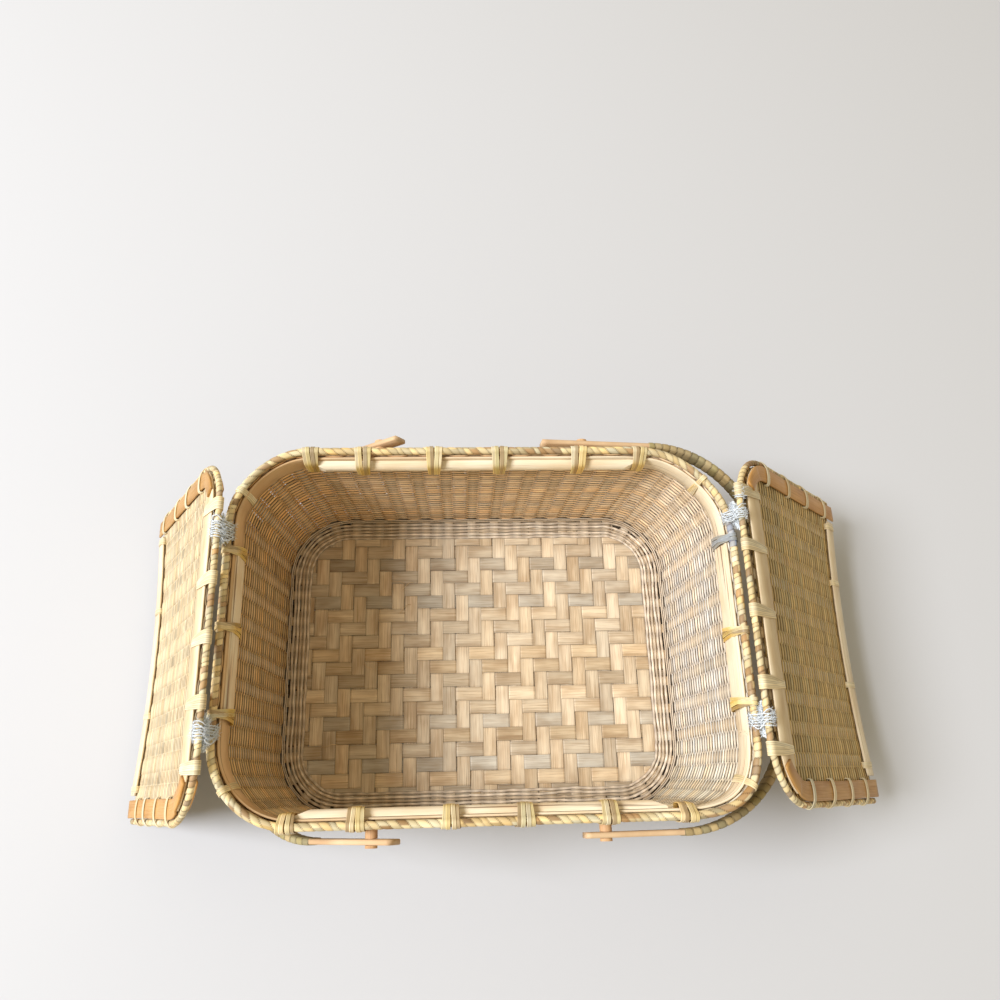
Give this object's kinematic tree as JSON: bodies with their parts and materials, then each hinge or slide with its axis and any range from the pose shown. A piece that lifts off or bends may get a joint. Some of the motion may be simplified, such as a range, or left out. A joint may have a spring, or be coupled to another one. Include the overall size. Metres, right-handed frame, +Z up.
{
  "type": "lidded basket",
  "caption": "Rectangular woven bamboo basket with half lids tied by twine to the ends of its coiled rim and cane-wound bow handles that swing on pegs; lids hang open.",
  "frame": {"origin": "centre of the underside of the floor, on the surface the basket stands on", "axes": "+Z up, +X along the basket towards the right-hand lid's hinge, +Y across it away from the viewer of the picture"},
  "size_m": [0.6599, 0.3166, 0.1947],
  "materials": {
    "woven_bamboo": "dry split bamboo, aged straw colour, matte",
    "split_bamboo": "smooth split bamboo, pale cream to straw, low sheen",
    "cane_wrapped_coil": "coil wound with flat cane, straw with brown lines",
    "cane_lashing": "flat cane, yellow straw, low sheen",
    "twine": "pale cotton twine, slightly fuzzy",
    "tan_band": "flat cane band, tan, matte",
    "brown_strip": "flat bamboo strip, brown-orange skin side",
    "handle_strip": "bent split bamboo, straw, low sheen",
    "handle_cane": "close winding of flat cane with dark gaps"
  },
  "bodies": {
    "basket": {"end_slat_left": "split_bamboo", "end_slat_right": "split_bamboo", "floor_edge_rows": "woven_bamboo", "floor_weave": "woven_bamboo", "handle_pegs_left": "handle_strip", "handle_pegs_right": "handle_strip", "hinge_tie_left_far": "twine", "hinge_tie_left_near": "twine", "hinge_tie_right_far": "twine", "hinge_tie_right_near": "twine", "lashings_corners": "cane_lashing", "lashings_far": "cane_lashing", "lashings_left": "cane_lashing", "lashings_near": "cane_lashing", "lashings_right": "cane_lashing", "rail_far": "split_bamboo", "rail_near": "split_bamboo", "rim_coil": "cane_wrapped_coil", "rim_inner_band": "split_bamboo", "rim_outer_band": "split_bamboo", "wall_weave": "woven_bamboo"},
    "lid_left": {"lid_left_coil": "cane_wrapped_coil", "lid_left_edge_slat_inner": "split_bamboo", "lid_left_edge_slat_outer": "split_bamboo", "lid_left_edge_ties": "cane_lashing", "lid_left_hinge_band_inner": "tan_band", "lid_left_hinge_band_outer": "tan_band", "lid_left_hinge_lashings": "cane_lashing", "lid_left_panel": "woven_bamboo", "lid_left_side_strips_inner": "brown_strip", "lid_left_side_strips_outer": "brown_strip", "lid_left_side_ties": "cane_lashing", "lid_left_toggle": "cane_lashing"},
    "lid_right": {"lid_right_coil": "cane_wrapped_coil", "lid_right_edge_slat_inner": "split_bamboo", "lid_right_edge_slat_outer": "split_bamboo", "lid_right_edge_ties": "cane_lashing", "lid_right_hinge_band_inner": "tan_band", "lid_right_hinge_band_outer": "tan_band", "lid_right_hinge_lashings": "cane_lashing", "lid_right_panel": "woven_bamboo", "lid_right_side_strips_inner": "brown_strip", "lid_right_side_strips_outer": "brown_strip", "lid_right_side_ties": "cane_lashing"},
    "handle_left": {"handle_left_strip": "handle_strip", "handle_left_wrap": "handle_cane"},
    "handle_right": {"handle_right_strip": "handle_strip", "handle_right_wrap": "handle_cane"}
  },
  "joints": [
    {"name": "lid_right_hinge", "type": "hinge", "parent": "basket", "child": "lid_right", "pos_m": [0.2055, 0, 0.189], "axis": [0, -1, 0], "range_deg": [0, 226]},
    {"name": "lid_left_hinge", "type": "hinge", "parent": "basket", "child": "lid_left", "pos_m": [-0.2055, 0, 0.189], "axis": [0, 1, 0], "range_deg": [0, 240]},
    {"name": "handle_right_swing", "type": "hinge", "parent": "basket", "child": "handle_right", "pos_m": [0.085, 0, 0.161], "axis": [0, -1, 0], "range_deg": [-32, 0]},
    {"name": "handle_left_swing", "type": "hinge", "parent": "basket", "child": "handle_left", "pos_m": [-0.085, 0, 0.161], "axis": [0, 1, 0], "range_deg": [0, 23]}
  ]
}
